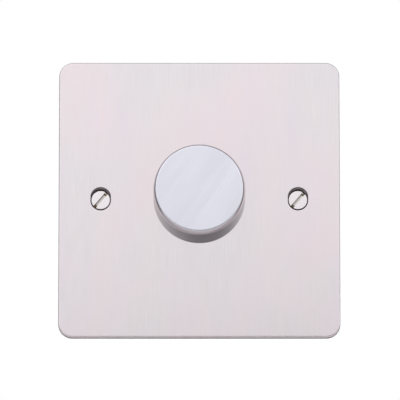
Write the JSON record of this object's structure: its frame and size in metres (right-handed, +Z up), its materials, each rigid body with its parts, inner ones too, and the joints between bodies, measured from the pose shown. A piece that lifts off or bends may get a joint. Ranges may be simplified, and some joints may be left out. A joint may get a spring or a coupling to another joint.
{
  "type": "rotary dimmer switch",
  "caption": "Wall-mounted rotary dimmer switch: flat brushed metal faceplate, round satin metal knob that turns and pushes, and a dimmer module behind for the wall box.",
  "frame": {"origin": "centre of the wall plane, at the gasket's rear face, halfway between the two box screws", "axes": "+X to the right and +Z up as seen from the room, +Y into the wall"},
  "size_m": [0.086, 0.041, 0.086],
  "materials": {
    "plate_steel": "brushed stainless steel, fine vertical grain",
    "gasket_foam": "closed-cell foam, dark grey",
    "screw_nickel_brass": "nickel-plated brass, brass showing in the slot",
    "plated_steel": "zinc-plated steel, satin",
    "knob_satin_metal": "satin metal, turned sides and a finely brushed face",
    "black_moulding": "black moulding, matt",
    "spring_steel": "bright spring steel",
    "spindle_aluminium": "turned aluminium",
    "bush_zinc": "die-cast zinc",
    "control_plastic": "dark moulding, matt",
    "track_laminate": "brown phenolic laminate with a dark track",
    "switch_plastic": "pale nylon, satin",
    "contact_bronze": "phosphor bronze strip",
    "yoke_aluminium": "mill-finish aluminium sheet",
    "housing_plastic": "white thermoplastic, fine spark-eroded texture",
    "terminal_brass": "extruded brass",
    "board_laminate": "green solder resist on laminate",
    "core_ferrite": "painted powdered-iron ring",
    "winding_copper": "enamelled copper wire",
    "film_case": "yellow moulded case",
    "capacitor_sleeve": "dark shrink sleeve",
    "fuse_case": "brown moulded case",
    "resistor_lacquer": "tan lacquer",
    "diac_glass": "blue lacquered glass",
    "pad_silicone": "grey silicone pad"
  },
  "bodies": {
    "root": {"faceplate": "plate_steel", "plate_gasket": "gasket_foam", "fixing_screws": "screw_nickel_brass", "control_nut": "plated_steel", "lock_washer": "plated_steel", "control_bush": "bush_zinc", "control_housing": "control_plastic", "resistor_track": "track_laminate", "heat_sink_yoke": "yoke_aluminium", "rear_housing": "housing_plastic", "housing_screws": "plated_steel", "terminal_blocks": "terminal_brass", "terminal_screws": "plated_steel", "earth_terminal": "terminal_brass", "earth_screw": "plated_steel", "circuit_board": "board_laminate", "switch_body": "switch_plastic", "fixed_contacts": "contact_bronze", "return_spring": "spring_steel", "choke_core": "core_ferrite", "choke_winding": "winding_copper", "film_capacitor": "film_case", "electrolytic_capacitor": "capacitor_sleeve", "fuse": "fuse_case", "resistors": "resistor_lacquer", "diac": "diac_glass", "control_chip": "black_moulding", "triac": "black_moulding", "triac_pad": "pad_silicone", "triac_screw": "plated_steel"},
    "wiper": {"wiper_rotor": "switch_plastic", "wiper_contact": "contact_bronze"},
    "knob": {"knob_shell": "knob_satin_metal", "knob_insert": "black_moulding", "knob_grip_spring": "spring_steel", "spindle": "spindle_aluminium"},
    "plunger": {"switch_plunger": "switch_plastic", "bridge_contact": "contact_bronze"}
  },
  "joints": [
    {"name": "knob_turn", "type": "hinge", "parent": "root", "child": "wiper", "pos_m": [0, 0, 0], "axis": [0, 1, 0], "range_deg": [-135, 135]},
    {"name": "knob_push", "type": "slide", "parent": "wiper", "child": "knob", "axis": [0, 1, 0], "range_m": [0, 0.001], "stiffness_N_per_m": 3000, "springref_m": -0.001},
    {"name": "plunger_slide", "type": "slide", "parent": "root", "child": "plunger", "axis": [0, 1, 0], "range_m": [0, 0.001], "deforming": ["return_spring"]}
  ],
  "couplings": [
    {"joint": "plunger_slide", "follows": "knob_push", "ratio": 1}
  ]
}
